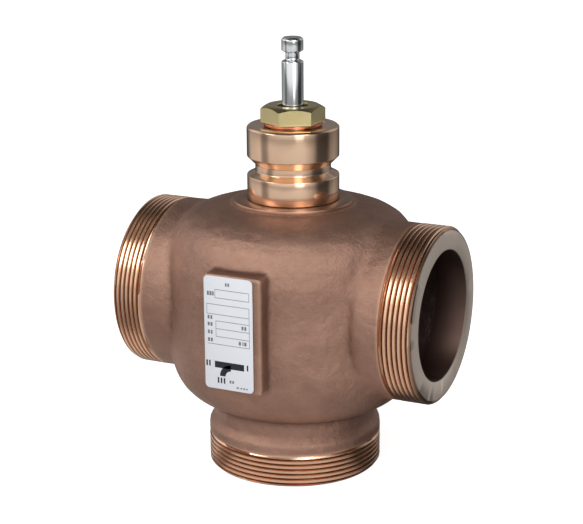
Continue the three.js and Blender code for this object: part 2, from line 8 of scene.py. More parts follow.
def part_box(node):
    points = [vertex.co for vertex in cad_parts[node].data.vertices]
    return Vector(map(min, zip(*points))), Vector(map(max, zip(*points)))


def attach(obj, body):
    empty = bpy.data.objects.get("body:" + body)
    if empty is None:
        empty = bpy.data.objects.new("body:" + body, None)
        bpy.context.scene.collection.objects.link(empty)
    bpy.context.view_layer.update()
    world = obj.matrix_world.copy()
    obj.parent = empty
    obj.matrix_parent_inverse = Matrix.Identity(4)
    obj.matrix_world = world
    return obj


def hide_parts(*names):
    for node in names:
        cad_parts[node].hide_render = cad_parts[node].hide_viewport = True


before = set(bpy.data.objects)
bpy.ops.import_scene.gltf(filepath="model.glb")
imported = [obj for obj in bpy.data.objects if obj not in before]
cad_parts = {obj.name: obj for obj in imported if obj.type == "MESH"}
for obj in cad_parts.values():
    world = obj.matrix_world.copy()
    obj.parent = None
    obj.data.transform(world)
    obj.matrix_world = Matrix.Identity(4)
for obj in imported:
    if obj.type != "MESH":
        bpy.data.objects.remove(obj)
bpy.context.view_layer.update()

MM = 0.001

# ---------------------------------------------------------------------------------------------------------
# Camera: a long lens a little above the ports, standing to the right of the label.
camera_azimuth = math.radians(26.09)
camera_elevation = math.radians(15.92)
camera_roll = math.radians(-0.41)
camera_distance = 796 * MM
aim_height = 96.4 * MM
aim_shift = -1.1 * MM
lens_length = 105.06
sensor_width = 36

across = Vector((math.cos(camera_azimuth), math.sin(camera_azimuth), 0))
back = Vector((
    math.sin(camera_azimuth) * math.cos(camera_elevation),
    -math.cos(camera_azimuth) * math.cos(camera_elevation),
    math.sin(camera_elevation),
))
upward = back.cross(across)
camera_data = bpy.data.cameras.new("camera")
camera_data.lens = lens_length
camera_data.sensor_width = sensor_width
camera = bpy.data.objects.new("camera", camera_data)
camera_right = across * math.cos(camera_roll) + upward * math.sin(camera_roll)
camera_up = upward * math.cos(camera_roll) - across * math.sin(camera_roll)
camera_place = Vector((0, 0, aim_height)) + across * aim_shift + back * camera_distance
camera_turn = Matrix((camera_right, camera_up, back)).transposed().to_4x4()
camera.matrix_world = Matrix.Translation(camera_place) @ camera_turn
bpy.context.collection.objects.link(camera)
bpy.context.scene.camera = camera
bpy.context.scene.view_settings.view_transform = "Standard"


# ---------------------------------------------------------------------------------------------------------
# Stage: a plain pale floor under soft lights, in a bright room. The room's walls carry broad bands of light
# and dark that stand upright, which is what draws the long streaks on the turned and polished pieces. The
# camera itself sees only white.
def plain_material(name, colour, roughness):
    """A material of one colour and one roughness."""
    material = bpy.data.materials.new(name)
    material.use_nodes = True
    shader = material.node_tree.nodes["Principled BSDF"]
    shader.inputs["Base Color"].default_value = (*colour, 1)
    shader.inputs["Roughness"].default_value = roughness
    return material


def fill_sockets(tree, node, sockets):
    """Fills a node's sockets, each by name or number: with a value, or from the output that feeds it."""
    for socket, value in sockets.items():
        if isinstance(value, bpy.types.NodeSocket):
            tree.links.new(value, node.inputs[socket])
        else:
            node.inputs[socket].default_value = value


def add_node(tree, kind, sockets, **settings):
    """A new node, with its settings made and then its sockets filled."""
    node = tree.nodes.new("ShaderNode" + kind)
    for key, value in settings.items():
        setattr(node, key, value)
    fill_sockets(tree, node, sockets)
    return node


def maths(tree, operation, *values, **settings):
    """The result of a maths node fed with values or outputs, in order."""
    return add_node(tree, "Math", dict(enumerate(values)), operation=operation, **settings).outputs["Value"]


def mix_colour(tree, factor, first, second, **settings):
    """The first colour where the factor is nought, and the second where it is one."""
    sockets = {"Factor": factor, "A": first, "B": second}
    return add_node(tree, "Mix", sockets, data_type="RGBA", **settings).outputs["Result"]


def fill_ramp(ramp, stops):
    """Sets a colour ramp's stops: each is a position and a grey."""
    while len(ramp.elements) < len(stops):
        ramp.elements.new(1.0)
    for element, (position, grey) in zip(ramp.elements, stops):
        element.position = position
        element.color = (grey, grey, grey, 1)


def bearing_bands(tree, split, stops):
    """A grey for each bearing round Z, in degrees: 0 faces the label, and 90 faces the right port."""
    forward = maths(tree, "MULTIPLY", split["Y"], -1)
    bearing = maths(tree, "ARCTAN2", split["X"], forward)
    turn_share = maths(tree, "MULTIPLY_ADD", bearing, 1 / math.tau, 0.5)
    bands = add_node(tree, "ValToRGB", {"Fac": turn_share})
    fill_ramp(bands.color_ramp, [((degrees + 180) / 360, grey) for degrees, grey in stops])
    return bands.outputs["Color"]


# The studio's panels: bright and dark strips that stand round the table, and show as streaks in turned metal.
panels = (
    (-180, 0.16), (-122, 0.16), (-100, 1.0), (-62, 1.0), (-56, 0.34), (-42, 0.34), (-34, 0.85), (55, 0.9),
    (76, 0.55), (88, 0.1), (120, 0.1), (132, 0.5), (146, 0.62), (162, 0.5), (180, 0.16),
)

floor_size = 14.0
floor_mesh = bpy.data.meshes.new("floor")
bm = bmesh.new()
bmesh.ops.create_grid(bm, x_segments=1, y_segments=1, size=floor_size / 2)
bm.to_mesh(floor_mesh)
bm.free()
floor = bpy.data.objects.new("floor", floor_mesh)
floor.location.z = -0.2 * MM
bpy.context.collection.objects.link(floor)

# The camera sees the floor's own paint, and the pieces see the panels in it.
floor_paint = plain_material("floor_paint", (0.9, 0.9, 0.9), 0.9)
floor_mesh.materials.append(floor_paint)
tree = floor_paint.node_tree
shown = tree.nodes["Principled BSDF"]
fill_sockets(tree, shown, {"Emission Color": (1, 1, 1, 1), "Emission Strength": 0.8})
place = add_node(tree, "TexCoord", {}).outputs["Object"]
split = add_node(tree, "SeparateXYZ", {"Vector": place}).outputs
reflected = add_node(tree, "BsdfDiffuse", {"Color": bearing_bands(tree, split, panels)})
sight = add_node(tree, "LightPath", {}).outputs["Is Camera Ray"]
sockets = {"Fac": sight, 1: reflected.outputs["BSDF"], 2: shown.outputs["BSDF"]}
either = add_node(tree, "MixShader", sockets)
tree.links.new(either.outputs["Shader"], tree.nodes["Material Output"].inputs["Surface"])


def softbox(name, place, aim, width, height, power):
    """A rectangular light turned to face a point."""
    data = bpy.data.lights.new(name, "AREA")
    data.shape = "RECTANGLE"
    data.size = width
    data.size_y = height
    data.energy = power
    light = bpy.data.objects.new(name, data)
    light.location = place
    light.rotation_euler = (Vector(aim) - Vector(place)).to_track_quat("-Z", "Y").to_euler()
    bpy.context.collection.objects.link(light)


middle = (0, 0, 90 * MM)
softbox("key_light", (-0.75, -0.95, 0.95), middle, 0.6, 0.6, 6.5)
softbox("top_light", (0.6, -0.45, 1.0), middle, 0.6, 0.5, 4.2)
softbox("front_light", (0.9, -1.0, 0.5), middle, 0.5, 0.8, 2.5)

room = bpy.data.worlds.new("room")
room.use_nodes = True
bpy.context.scene.world = room
tree = room.node_tree
direction = add_node(tree, "TexCoord", {}).outputs["Generated"]
split = add_node(tree, "SeparateXYZ", {"Vector": direction}).outputs
heights = add_node(tree, "ValToRGB", {"Fac": maths(tree, "MULTIPLY_ADD", split["Z"], 0.5, 0.5)})
# The room's light by height: 0 is straight down and 1 straight up.
fill_ramp(heights.color_ramp, [(0.0, 0.5), (0.48, 0.85), (0.62, 1.0), (0.78, 0.6), (0.9, 0.2), (1.0, 0.1)])
walls = bearing_bands(tree, split, panels)
shade = mix_colour(tree, 1, walls, heights.outputs["Color"], blend_type="MULTIPLY")
sight = add_node(tree, "LightPath", {}).outputs["Is Camera Ray"]
seen = mix_colour(tree, sight, shade, (1, 1, 1, 1))
fill_sockets(tree, tree.nodes["Background"], {"Color": seen, "Strength": 1.35})


# ---------------------------------------------------------------------------------------------------------
# Valve body: one sand casting in bronze. Its skin is rough and brown, its corners are rounded by the mould,
# and only the port ends and the seat for the bonnet are machined. It is grown from the frame's solid, which
# is remeshed and smoothed until its corners become fillets.
port_radius = 40.77 * MM
port_bore = 30 * MM
axis_height = 80 * MM
half_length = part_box("valve_body")[1].x
thread_length = 15.3 * MM
disc_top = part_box("valve_body")[1].z
disc_height = 2.1 * MM
skin_cell = 1.1 * MM


def node_group(name, inputs, outputs):
    """An empty shader group with named sockets: a name and a kind for each, and a default for an input.
    Gives the group, what it is given, and its output node."""
    group = bpy.data.node_groups.new(name, "ShaderNodeTree")
    for socket, kind, value in inputs:
        made = group.interface.new_socket(socket, in_out="INPUT", socket_type="NodeSocket" + kind)
        if value is not None:
            made.default_value = value
    for socket, kind in outputs:
        group.interface.new_socket(socket, in_out="OUTPUT", socket_type="NodeSocket" + kind)
    return group, group.nodes.new("NodeGroupInput").outputs, group.nodes.new("NodeGroupOutput")


def make_mottle():
    """Patches of one colour in another, with a little finer speckle over them."""
    inputs = [
        ("Vector", "Vector", None), ("Light", "Color", (1, 1, 1, 1)), ("Dark", "Color", (0, 0, 0, 1)),
        ("Scale", "Float", 50.0), ("Contrast", "Float", 1.0),
    ]
    group, given, result = node_group("mottle", inputs, [("Color", "Color"), ("Mask", "Float")])
    sockets = {"Vector": given["Vector"], "Scale": given["Scale"], "Detail": 6, "Roughness": 0.62}
    patches = add_node(group, "TexNoise", sockets).outputs["Fac"]
    low = maths(group, "MULTIPLY_ADD", given["Contrast"], -0.5, 0.5)
    spread = maths(group, "MULTIPLY_ADD", patches, given["Contrast"], low, use_clamp=True)
    blend = mix_colour(group, spread, given["Light"], given["Dark"])
    fill_sockets(group, result, {"Color": blend, "Mask": spread})
    return group


def make_sand_skin():
    """The dimpled skin that a sand mould leaves: coarse dimples with fine grains on them, as a normal."""
    inputs = [("Vector", "Vector", None), ("Grain", "Float", 900.0), ("Depth", "Float", 0.00012)]
    group, given, result = node_group("sand_skin", inputs, [("Normal", "Vector"), ("Height", "Float")])
    sockets = {"Vector": given["Vector"], "Scale": given["Grain"], "Detail": 5, "Roughness": 0.7}
    grains = add_node(group, "TexNoise", sockets).outputs["Fac"]
    coarse = maths(group, "MULTIPLY", given["Grain"], 0.33)
    sockets = {"Vector": given["Vector"], "Scale": coarse}
    dimples = add_node(group, "TexVoronoi", sockets, feature="SMOOTH_F1").outputs["Distance"]
    total = maths(group, "ADD", grains, dimples)
    bump = add_node(group, "Bump", {"Strength": 1.0, "Height": total, "Distance": given["Depth"]})
    fill_sockets(group, result, {"Normal": bump.outputs["Normal"], "Height": grains})
    return group


def make_edge_wear():
    """How far a corner stands proud, from 0 on flat faces to 1 on rubbed edges."""
    inputs = [("Start", "Float", 0.52), ("Full", "Float", 0.6)]
    group, given, result = node_group("edge_wear", inputs, [("Mask", "Float")])
    proud = add_node(group, "NewGeometry", {}).outputs["Pointiness"]
    sockets = {"Value": proud, "From Min": given["Start"], "From Max": given["Full"]}
    fill_sockets(group, result, {"Mask": add_node(group, "MapRange", sockets).outputs["Result"]})
    return group


mottle = make_mottle()
sand_skin = make_sand_skin()
edge_wear = make_edge_wear()


def start_material(name, roughness, metallic):
    """A material with its shader's plain sockets set, and its node tree, shader and object coordinates."""
    material = plain_material(name, (0.5, 0.5, 0.5), roughness)
    tree = material.node_tree
    shader = tree.nodes["Principled BSDF"]
    shader.inputs["Metallic"].default_value = metallic
    place = add_node(tree, "TexCoord", {}).outputs["Object"]
    return material, tree, shader, place


def use_group(tree, group, **sockets):
    """A group placed in a material, with its sockets filled."""
    return add_node(tree, "Group", sockets, node_tree=group)


def vary_roughness(tree, shader, mask, smooth, rough):
    """Lets a mask carry the roughness from a smooth value to a rough one."""
    span = add_node(tree, "MapRange", {"Value": mask, "To Min": smooth, "To Max": rough})
    tree.links.new(span.outputs["Result"], shader.inputs["Roughness"])


def cast_bronze_material():
    """Brown sand-cast bronze, paler on its rubbed corners, with grime and painted shade in its hollows and
    painted shade on its inside.
    """
    material, tree, shader, place = start_material("cast_bronze", 0.5, 0.9)
    patches = use_group(
        tree, mottle, Vector=place, Light=(0.45, 0.265, 0.195, 1), Dark=(0.26, 0.148, 0.108, 1), Scale=45.0,
        Contrast=1.6
    )
    worn = use_group(tree, edge_wear, Start=0.51, Full=0.58)
    colour = mix_colour(tree, worn.outputs["Mask"], patches.outputs["Color"], (0.52, 0.32, 0.23, 1))
    # Painted shade: the hollows darken (grime as well), and the walls inside the chamber and bores darken.
    for mark, shade in (("grime_and_shade", (0.09, 0.035, 0.028, 1)), ("painted_inside_shade", (0.06, 0.035, 0.03, 1))):
        marked = add_node(tree, "Attribute", {}, attribute_name=mark).outputs["Fac"]
        colour = mix_colour(tree, marked, colour, shade)
    skin = use_group(tree, sand_skin, Vector=place, Grain=640.0, Depth=0.0004)
    fill_sockets(tree, shader, {"Base Color": colour, "Normal": skin.outputs["Normal"]})
    vary_roughness(tree, shader, skin.outputs["Height"], 0.38, 0.62)
    return material


def add_piece(name, bm, material, body, nodes=(), sharp=30):
    """Turns a finished bmesh into a piece that rides on a body, and hides the frame's nodes that it takes the
    place of.
    """
    mesh = bpy.data.meshes.new(name)
    bm.to_mesh(mesh)
    bm.free()
    mesh.shade_smooth()
    mesh.set_sharp_from_angle(angle=math.radians(sharp))
    mesh.materials.append(material)
    piece = bpy.data.objects.new(name, mesh)
    bpy.context.collection.objects.link(piece)
    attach(piece, body)
    if nodes:
        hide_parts(*nodes)
    return piece


def apply_modifiers(bm, *modifiers):
    """Runs a bmesh through modifiers, each a kind and its settings, and gives the result back as a bmesh."""
    mesh = bpy.data.meshes.new("work")
    bm.to_mesh(mesh)
    bm.free()
    work = bpy.data.objects.new("work", mesh)
    bpy.context.collection.objects.link(work)
    for kind, settings in modifiers:
        modifier = work.modifiers.new(kind.lower(), kind)
        for key, value in settings.items():
            setattr(modifier, key, value)
    bpy.context.view_layer.update()
    done = bpy.data.meshes.new_from_object(work.evaluated_get(bpy.context.evaluated_depsgraph_get()))
    result = bmesh.new()
    result.from_mesh(done)
    bpy.data.objects.remove(work)
    bpy.data.meshes.remove(mesh)
    bpy.data.meshes.remove(done)
    return result


def soften(bm, verts, rounds):
    """Rounds corners by drawing each vertex towards its neighbours."""
    for _ in range(rounds):
        bmesh.ops.smooth_vert(
            bm, verts=verts, factor=0.5, use_axis_x=True, use_axis_y=True, use_axis_z=True
        )


def cut_open(bm, place, normal):
    """Cuts away what lies beyond a plane and closes the wall that the cut leaves between outside and bore."""
    everything = bm.verts[:] + bm.edges[:] + bm.faces[:]
    made = bmesh.ops.bisect_plane(bm, geom=everything, plane_co=place, plane_no=normal, clear_outer=True)
    edges = [e for e in made["geom_cut"] if isinstance(e, bmesh.types.BMEdge)]
    bmesh.ops.bridge_loops(bm, edges=edges)


casting = bmesh.new()
casting.from_mesh(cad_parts["valve_body"].data)
bmesh.ops.remove_doubles(casting, verts=casting.verts, dist=0.01 * MM)
casting = apply_modifiers(casting, ("REMESH", {"mode": "VOXEL", "voxel_size": skin_cell}))

# The pad for the label and the lower port's collar keep crisper corners than the rest.
pad_half_width = 14.1 * MM
pad_fillet = 3 * MM
pad_foot = 48 * MM
lower_collar_top = 34 * MM
soften(casting, casting.verts[:], 3)
rounded = [
    v for v in casting.verts
    if v.co.z >= lower_collar_top
    and not (abs(v.co.x) < pad_half_width + pad_fillet and abs(v.co.y) > pad_foot)
]
soften(casting, rounded, 8)

# The mould's slow unevenness: broad and narrow waves along the surface.
wave_height = 0.09 * MM
broad_wave = 9 * MM
narrow_wave = 3.5 * MM
for v in casting.verts:
    wave = noise.noise(v.co / broad_wave) + 0.5 * noise.noise(v.co / narrow_wave)
    v.co += v.normal * wave * wave_height

collar_end = half_length - thread_length
cut_open(casting, Vector((collar_end, 0, 0)), Vector((1, 0, 0)))
cut_open(casting, Vector((-collar_end, 0, 0)), Vector((-1, 0, 0)))
cut_open(casting, Vector((0, 0, thread_length)), Vector((0, 0, -1)))
seat_overlap = 0.3 * MM
cut_open(casting, Vector((0, 0, disc_top - disc_height + seat_overlap)), Vector((0, 0, 1)))
bmesh.ops.recalc_face_normals(casting, faces=casting.faces)

# The walls inside the chamber and the bores are marked for painted shade: a darker colour where little light
# reaches.
chamber_radius = 42.7 * MM
chamber_floor = 36 * MM
chamber_roof = 112.5 * MM
bore_reach = 31 * MM
lower_bore_top = 40 * MM
painted_inside_shade = casting.verts.layers.float.new("painted_inside_shade")
for v in casting.verts:
    from_stem = math.hypot(v.co.x, v.co.y)
    from_run = math.hypot(v.co.y, v.co.z - axis_height)
    in_chamber = from_stem < chamber_radius and chamber_floor < v.co.z < chamber_roof
    in_lower_bore = from_stem < bore_reach and v.co.z < lower_bore_top
    v[painted_inside_shade] = 1.0 if in_chamber or in_lower_bore or from_run < bore_reach else 0.0

# Grime and painted shade darken where the surface is hollow: where a vertex lies below the middle of its
# neighbours.
least_dip = 0.02 * MM
dip_range = 0.09 * MM
casting.normal_update()
grime_and_shade = casting.verts.layers.float.new("grime_and_shade")
for v in casting.verts:
    ring = [e.other_vert(v).co for e in v.link_edges]
    dip = (sum(ring, Vector()) / len(ring) - v.co).dot(v.normal)
    v[grime_and_shade] = min(1.0, max(0.0, (dip - least_dip) / dip_range))
for _ in range(3):
    spread = [
        sum(e.other_vert(v)[grime_and_shade] for e in v.link_edges) / len(v.link_edges) for v in casting.verts
    ]
    for v, share in zip(casting.verts, spread):
        v[grime_and_shade] = share
add_piece("body_casting", casting, cast_bronze_material(), "valve", ["valve_body"], sharp=45)


# ---------------------------------------------------------------------------------------------------------
# Threaded port ends: the outside of each port, turned bright and cut with a male pipe thread to a raw collar
# of the casting, and faced flat where the union's gasket seals. The three ends are alike.
thread_pitch = 2.309 * MM
thread_depth = 1.479 * MM
thread_steps = 144
face_radius = port_radius - 1.5 * MM
lead_in_slope = 1.2
run_out_start = thread_length - 1.3 * MM
run_out_length = 0.5 * MM
undercut = 0.8 * MM
edge_break = 0.5 * MM
back_wall = 6 * MM
# Where the painted shade in the thread's grooves, the bright face and the painted shade in the bore begin and
# are full, as radii.
groove_shade_span = (port_radius - 0.35 * MM, port_radius - 1.4 * MM)
face_span = (port_radius - 1.5 * MM, port_radius - 2.2 * MM)
bore_shade_span = (port_bore + 0.5 * MM, port_bore + 0.1 * MM)
# One turn of the thread's section: a share of the pitch, and how high the metal stands there.
tooth = (
    (0.0, 1.0), (0.22, 0.985), (0.27, 0.88), (0.42, 0.14), (0.45, 0.03), (0.5, 0.0), (0.55, 0.03),
    (0.58, 0.14), (0.73, 0.88), (0.78, 0.985),
)


def distance_from_axis(tree, place):
    """A place split into its coordinates, and its distance from the Z axis."""
    split = add_node(tree, "SeparateXYZ", {"Vector": place}).outputs
    flat = add_node(tree, "CombineXYZ", {"X": split["X"], "Y": split["Y"]}).outputs["Vector"]
    return split, add_node(tree, "VectorMath", {0: flat}, operation="LENGTH").outputs["Value"]


def make_turning_marks():
    """Fine rings left by the tool round Z, as a normal, and the same rings as a mask for roughness."""
    inputs = [("Vector", "Vector", None), ("Rings", "Float", 4000.0), ("Depth", "Float", 0.00001)]
    group, given, result = node_group("turning_marks", inputs, [("Normal", "Vector"), ("Mask", "Float")])
    split, radius = distance_from_axis(group, given["Vector"])
    travel = maths(group, "MULTIPLY_ADD", split["Z"], 0.8, radius)
    sockets = {"W": travel, "Scale": given["Rings"], "Detail": 4, "Roughness": 0.75}
    rings = add_node(group, "TexNoise", sockets, noise_dimensions="1D").outputs["Fac"]
    bump = add_node(group, "Bump", {"Height": rings, "Distance": given["Depth"]})
    fill_sockets(group, result, {"Normal": bump.outputs["Normal"], "Mask": rings})
    return group


turning_marks = make_turning_marks()


def radius_mask(tree, place, low, high):
    """0 at one radius round Z and 1 at another."""
    distance = distance_from_axis(tree, place)[1]
    sockets = {"Value": distance, "From Min": low, "From Max": high}
    return add_node(tree, "MapRange", sockets).outputs["Result"]


def turned_to(tree, place, origin, turn):
    """Object coordinates measured from a piece's own middle, with its axis along Z."""
    sockets = {"Vector": place, "Location": origin, "Rotation": turn}
    return add_node(tree, "Mapping", sockets, vector_type="TEXTURE").outputs["Vector"]


def turned_metal(
    name, light, dark, roughness, rings=4000.0, depth=0.00001, origin=(0, 0, 0), turn=(0, 0, 0)
):
    """Bright turned metal with tool rings, slight tarnish in patches and paler rubbed edges. Gives the
    material, and what a further layer needs: its tree, shader, coordinates along the axis, and colour."""
    material, tree, shader, place = start_material(name, roughness, 1.0)
    local = turned_to(tree, place, origin, turn)
    tarnish = use_group(tree, mottle, Vector=local, Light=light, Dark=dark, Scale=70.0, Contrast=1.5)
    marks = use_group(tree, turning_marks, Vector=local, Rings=rings, Depth=depth)
    worn = use_group(tree, edge_wear, Start=0.53, Full=0.62)
    bright = tuple(min(1.0, c * 1.15) for c in light[:3]) + (1,)
    colour = mix_colour(tree, worn.outputs["Mask"], tarnish.outputs["Color"], bright)
    fill_sockets(tree, shader, {"Base Color": colour, "Normal": marks.outputs["Normal"]})
    vary_roughness(tree, shader, tarnish.outputs["Mask"], roughness * 0.8, roughness * 1.35)
    return material, tree, shader, local, colour


def threaded_end(name, origin, turn):
    """One port end, cut about Z with its face at height nought, then laid in its place."""
    bm = bmesh.new()
    turns = math.ceil(thread_length / thread_pitch) + 2
    last = None
    for row in range(turns):
        for share, height in tooth:
            depth_below = thread_pitch * (row + share - 1.5)
            vert = bm.verts.new((port_radius - thread_depth * (1 - height), 0, -depth_below))
            if last:
                bm.edges.new((last, vert))
            last = vert
    geometry = bm.verts[:] + bm.edges[:]
    step = Vector((0, 0, -thread_pitch / thread_steps))
    bmesh.ops.spin(
        bm, geom=geometry, cent=(0, 0, 0), axis=(0, 0, 1), dvec=step, angle=math.tau,
        steps=thread_steps, use_merge=False
    )
    bmesh.ops.remove_doubles(bm, verts=bm.verts, dist=0.01 * MM)
    for v in bm.verts:
        depth_below = -v.co.z
        radius = math.hypot(v.co.x, v.co.y)
        faded = min(1.0, max(0.0, (depth_below - run_out_start) / run_out_length))
        wanted = radius + (port_radius - undercut - radius) * faded
        wanted = min(wanted, face_radius + max(depth_below, 0) * lead_in_slope)
        v.co.x *= wanted / radius
        v.co.y *= wanted / radius
    for height, normal in ((0, 1), (-thread_length, -1)):
        everything = bm.verts[:] + bm.edges[:] + bm.faces[:]
        bmesh.ops.bisect_plane(
            bm, geom=everything, plane_co=(0, 0, height), plane_no=(0, 0, normal), clear_outer=True
        )
    edge = [e for e in bm.edges if e.is_boundary and all(abs(v.co.z) < 0.001 * MM for v in e.verts)]
    inner_section = (
        (port_bore + edge_break, 0), (port_bore, -edge_break), (port_bore, -thread_length),
        (port_bore + back_wall, -thread_length),
    )
    for radius, height in inner_section:
        made = bmesh.ops.extrude_edge_only(bm, edges=edge)["geom"]
        edge = [e for e in made if isinstance(e, bmesh.types.BMEdge) and e.is_boundary]
        for v in {v for e in edge for v in e.verts}:
            spread = radius / math.hypot(v.co.x, v.co.y)
            v.co = Vector((v.co.x * spread, v.co.y * spread, height))
    bmesh.ops.bridge_loops(bm, edges=[e for e in bm.edges if e.is_boundary])
    bmesh.ops.transform(bm, matrix=Matrix.Translation(origin) @ Matrix.Rotation(turn, 4, "Y"), verts=bm.verts)
    bmesh.ops.recalc_face_normals(bm, faces=bm.faces)
    material, tree, shader, local, colour = turned_metal(
        name + "_bronze", (0.82, 0.54, 0.38, 1), (0.68, 0.41, 0.27, 1), 0.26, rings=2600.0, depth=0.000012,
        origin=origin, turn=(0, turn, 0)
    )
    # Painted shade: the colour darkens in the thread's grooves.
    in_shaded_groove = radius_mask(tree, local, *groove_shade_span)
    on_face = radius_mask(tree, local, *face_span)
    groove_shaded = mix_colour(tree, in_shaded_groove, colour, (0.27, 0.15, 0.105, 1))
    faced = mix_colour(tree, on_face, groove_shaded, (0.84, 0.72, 0.62, 1))
    # Painted shade: the colour darkens down the bore.
    in_shaded_bore = radius_mask(tree, local, *bore_shade_span)
    bore_shaded = mix_colour(tree, in_shaded_bore, faced, (0.09, 0.055, 0.045, 1))
    tree.links.new(bore_shaded, shader.inputs["Base Color"])
    vary_roughness(tree, shader, on_face, 0.24, 0.46)
    add_piece(name, bm, material, "valve", sharp=50)


threaded_end("right_port_thread", Vector((half_length, 0, axis_height)), math.pi / 2)
threaded_end("left_port_thread", Vector((-half_length, 0, axis_height)), -math.pi / 2)
threaded_end("lower_port_thread", Vector((0, 0, 0)), math.pi)


# ---------------------------------------------------------------------------------------------------------
# Seat for the bonnet: a low disc on top of the casting, faced and turned on its rim, and bored for the
# bonnet's spigot.
round_steps = 128


def spin_round(bm, steps):
    """Spins a section once about Z and closes it on itself."""
    geometry = bm.verts[:] + bm.edges[:]
    bmesh.ops.spin(
        bm, geom=geometry, cent=(0, 0, 0), axis=(0, 0, 1), angle=math.tau, steps=steps, use_merge=True
    )
    bmesh.ops.remove_doubles(bm, verts=bm.verts, dist=0.001 * MM)
    bmesh.ops.recalc_face_normals(bm, faces=bm.faces)


def break_edges(bm, edges, width, segments, clamp=False):
    """Rounds edges over a width."""
    bmesh.ops.bevel(
        bm, geom=edges, offset=width, segments=segments, profile=0.5, affect="EDGES", material=-1,
        clamp_overlap=clamp
    )


def turned(profile, steps=round_steps, edge=0.0, segments=2, keep_sharp=38):
    """Spins a section, a list of radius and height, about Z. A section off the axis closes on itself. Edges
    sharper than an angle are broken by the bevel."""
    bm = bmesh.new()
    verts = [bm.verts.new((radius, 0, height)) for radius, height in profile]
    for first, second in zip(verts, verts[1:]):
        bm.edges.new((first, second))
    if profile[0][0] > 0:
        bm.edges.new((verts[-1], verts[0]))
    spin_round(bm, steps)
    if edge:
        corners = [e for e in bm.edges if e.is_manifold and e.calc_face_angle() > math.radians(keep_sharp)]
        break_edges(bm, corners, edge, segments, clamp=True)
    return bm


disc_radius = 27.8 * MM
spigot_hole = 20.3 * MM
disc_bottom = disc_top - disc_height
seat_metal = turned_metal(
    "seat_bronze", (0.52, 0.32, 0.23, 1), (0.38, 0.22, 0.15, 1), 0.36, rings=2400.0
)[0]
seat_disc = turned(
    [
        (spigot_hole, disc_bottom), (disc_radius, disc_bottom), (disc_radius, disc_top),
        (spigot_hole, disc_top),
    ],
    edge=0.5 * MM,
)
add_piece("bonnet_seat", seat_disc, seat_metal, "valve")


# ---------------------------------------------------------------------------------------------------------
# Bonnet: a turned bronze neck screwed into the top of the body. The groove round its middle takes the
# actuator's clamp, and its bore steps up from the stem's guide to the seals and the gland nut's thread.
bonnet_low, bonnet_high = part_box("bonnet")
bonnet_radius = bonnet_high.x
bonnet_spigot = 20 * MM
groove_radius = 17.5 * MM
groove_bottom = disc_top + 13.3 * MM
groove_top = groove_bottom + 3.1 * MM
seal_bore = 8.5 * MM
stem_hole = 5.4 * MM
nut_thread = 11.1 * MM
gap = 0.3 * MM
bush_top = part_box("stem_guide_bush")[1].z + gap
seal_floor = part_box("backing_ring")[0].z - gap
thread_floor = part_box("gland_nut")[0].z - gap
slope = bonnet_radius - groove_radius
washer_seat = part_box("gland_washer")[0].z - gap
relief_radius = 15.5 * MM
top_chamfer = 0.9 * MM
bonnet_metal = turned_metal(
    "bonnet_bronze", (0.84, 0.60, 0.43, 1), (0.76, 0.49, 0.33, 1), 0.15, rings=3000.0, depth=0.000009
)[0]
bonnet_shape = turned(
    [
        (seal_bore, bonnet_low.z), (bonnet_spigot, bonnet_low.z), (bonnet_spigot, disc_top + gap),
        (bonnet_radius, disc_top + gap), (bonnet_radius, groove_bottom - slope / 2),
        (groove_radius, groove_bottom), (groove_radius, groove_top), (bonnet_radius, groove_top + slope),
        (bonnet_radius, bonnet_high.z - top_chamfer), (bonnet_radius - top_chamfer, bonnet_high.z),
        (relief_radius, bonnet_high.z), (relief_radius, washer_seat), (nut_thread, washer_seat),
        (nut_thread, thread_floor), (seal_bore, thread_floor), (seal_bore, seal_floor),
        (stem_hole, seal_floor), (stem_hole, bush_top), (seal_bore, bush_top),
    ],
    steps=160, edge=0.14 * MM, segments=2, keep_sharp=20,
)
add_piece("bonnet_neck", bonnet_shape, bonnet_metal, "valve", ["bonnet"])


# ---------------------------------------------------------------------------------------------------------
# Rings, bushes and gaskets: plain turned or stamped rings in copper, brass, bronze and plastic, laid in the
# bonnet's bore, under the gland nut and between the seats and the body. They only rest on one another.
brass = turned_metal("brass", (0.80, 0.62, 0.28, 1), (0.66, 0.48, 0.20, 1), 0.26, rings=3500.0)[0]
copper = turned_metal("copper", (0.82, 0.33, 0.20, 1), (0.60, 0.20, 0.11, 1), 0.3, rings=2500.0)[0]


def moulded_material(name, light, dark, roughness):
    """Moulded rubber or plastic with a faint cloudiness and a fine skin."""
    material, tree, shader, place = start_material(name, roughness, 0.0)
    clouded = use_group(tree, mottle, Vector=place, Light=light, Dark=dark, Scale=300.0, Contrast=1.4)
    skin = use_group(tree, sand_skin, Vector=place, Grain=2500.0, Depth=0.00002)
    fill_sockets(tree, shader, {"Base Color": clouded.outputs["Color"], "Normal": skin.outputs["Normal"]})
    vary_roughness(tree, shader, clouded.outputs["Mask"], roughness * 0.85, roughness * 1.15)
    return material


rubber = moulded_material("rubber", (0.022, 0.022, 0.024, 1), (0.012, 0.012, 0.013, 1), 0.6)
white_plastic = moulded_material("white_plastic", (0.80, 0.78, 0.73, 1), (0.72, 0.70, 0.64, 1), 0.42)

